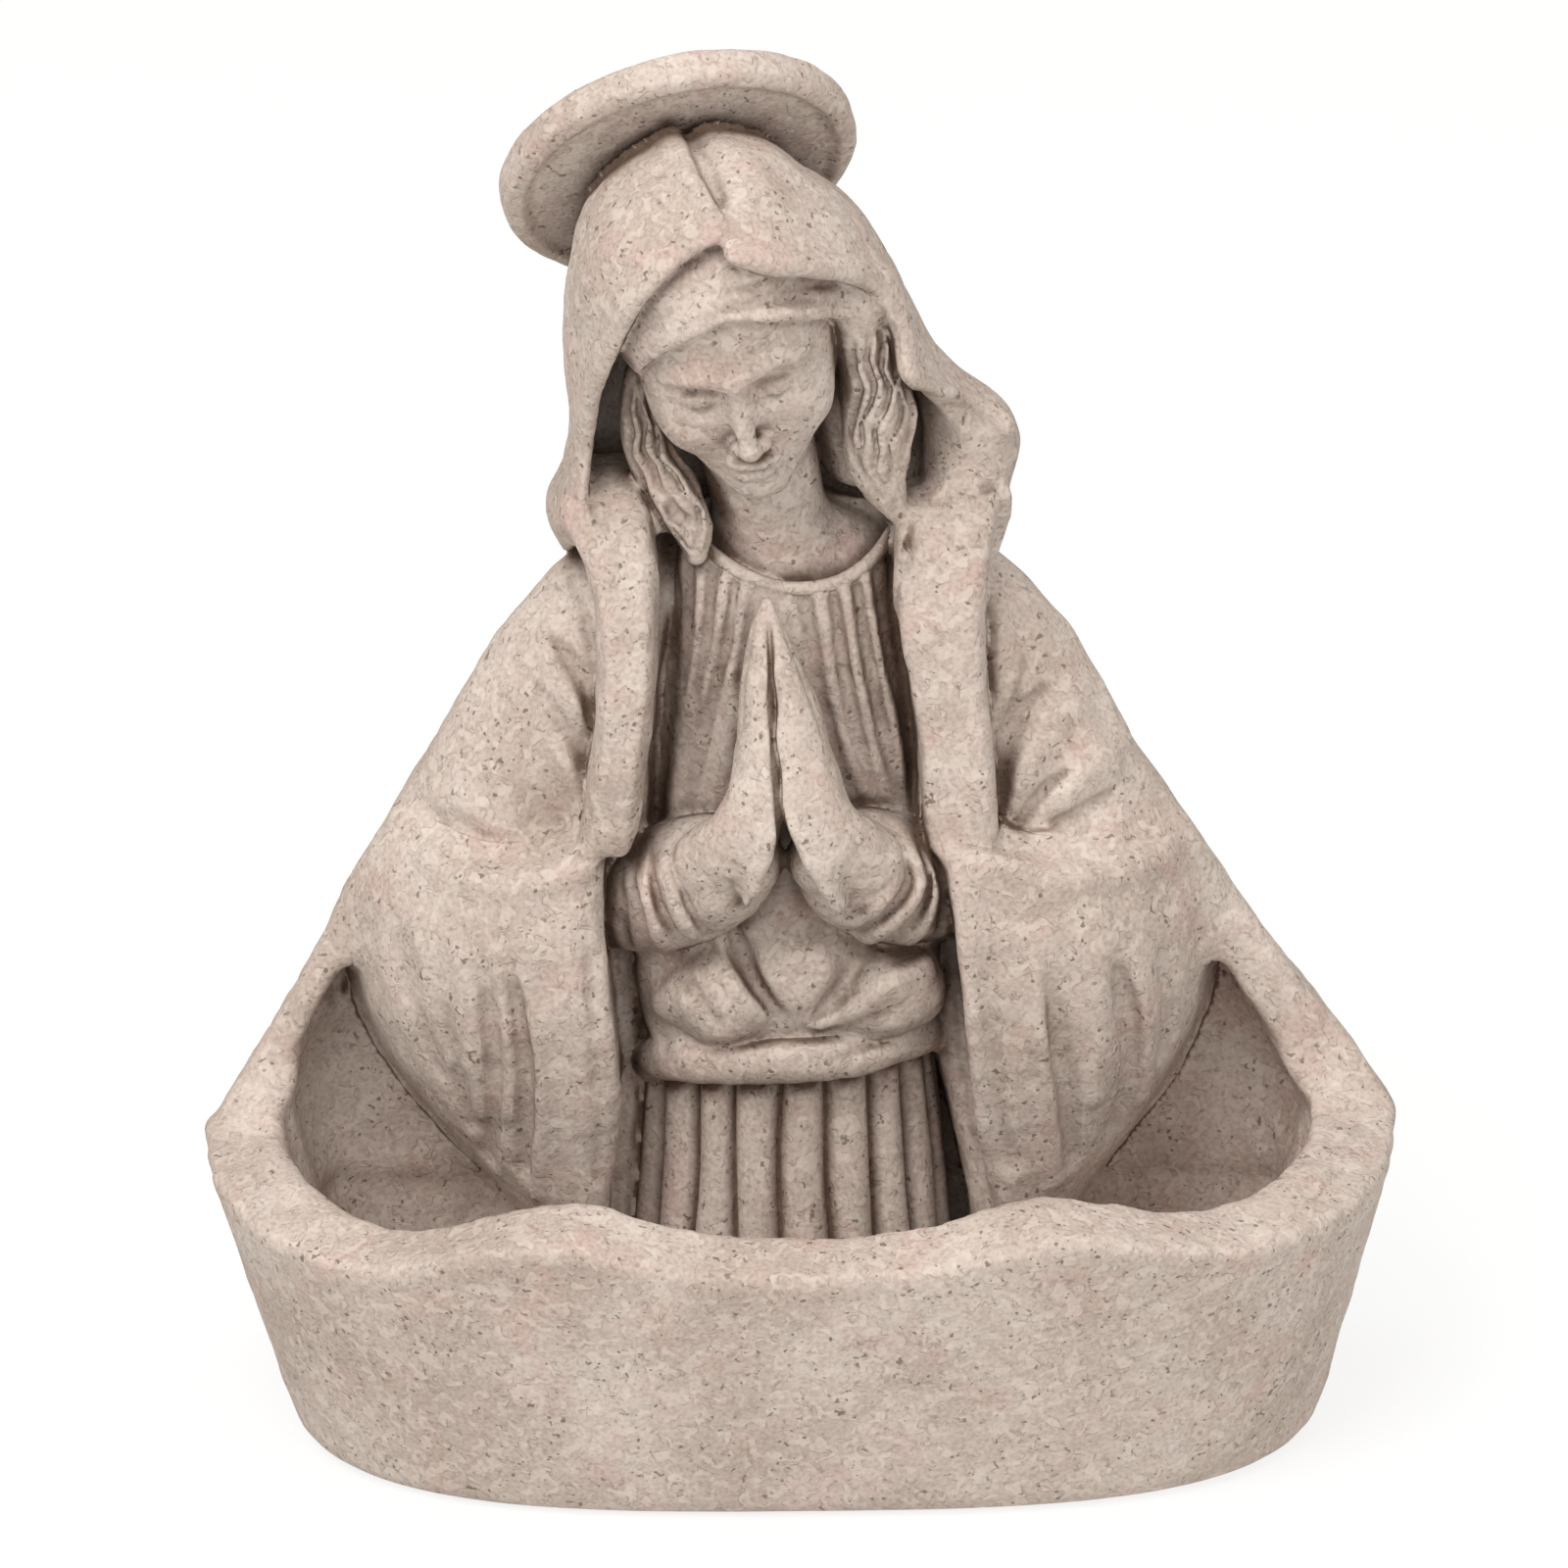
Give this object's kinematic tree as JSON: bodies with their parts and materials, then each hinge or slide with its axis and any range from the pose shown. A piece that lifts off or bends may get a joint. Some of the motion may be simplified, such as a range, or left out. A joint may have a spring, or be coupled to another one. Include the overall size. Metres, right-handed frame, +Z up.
{
  "type": "holy water font",
  "caption": "Cast stone holy water font: veiled praying half figure with a tilted halo disc, rising from a flat-backed basin with a wavy rim.",
  "frame": {"origin": "middle of the bounding box's underside, on the shelf plane", "axes": "+X to the viewer's right, +Y to the flat back, -Y to the viewer, +Z up"},
  "size_m": [0.134, 0.067, 0.1639],
  "materials": {
    "cast_stone": "matte, warm beige with fine dark and pink specks"
  },
  "bodies": {
    "root": {"basin": "cast_stone", "back_panel": "cast_stone", "skirt": "cast_stone", "sash": "cast_stone", "bodice": "cast_stone", "collar": "cast_stone", "head": "cast_stone", "forehead_band": "cast_stone", "hair_left": "cast_stone", "hair_right": "cast_stone", "veil": "cast_stone", "lapel_left": "cast_stone", "lapel_right": "cast_stone", "mantle": "cast_stone", "sleeve_left": "cast_stone", "sleeve_right": "cast_stone", "cuff_left": "cast_stone", "cuff_right": "cast_stone", "hand_left": "cast_stone", "hand_right": "cast_stone", "halo": "cast_stone"}
  },
  "joints": []
}
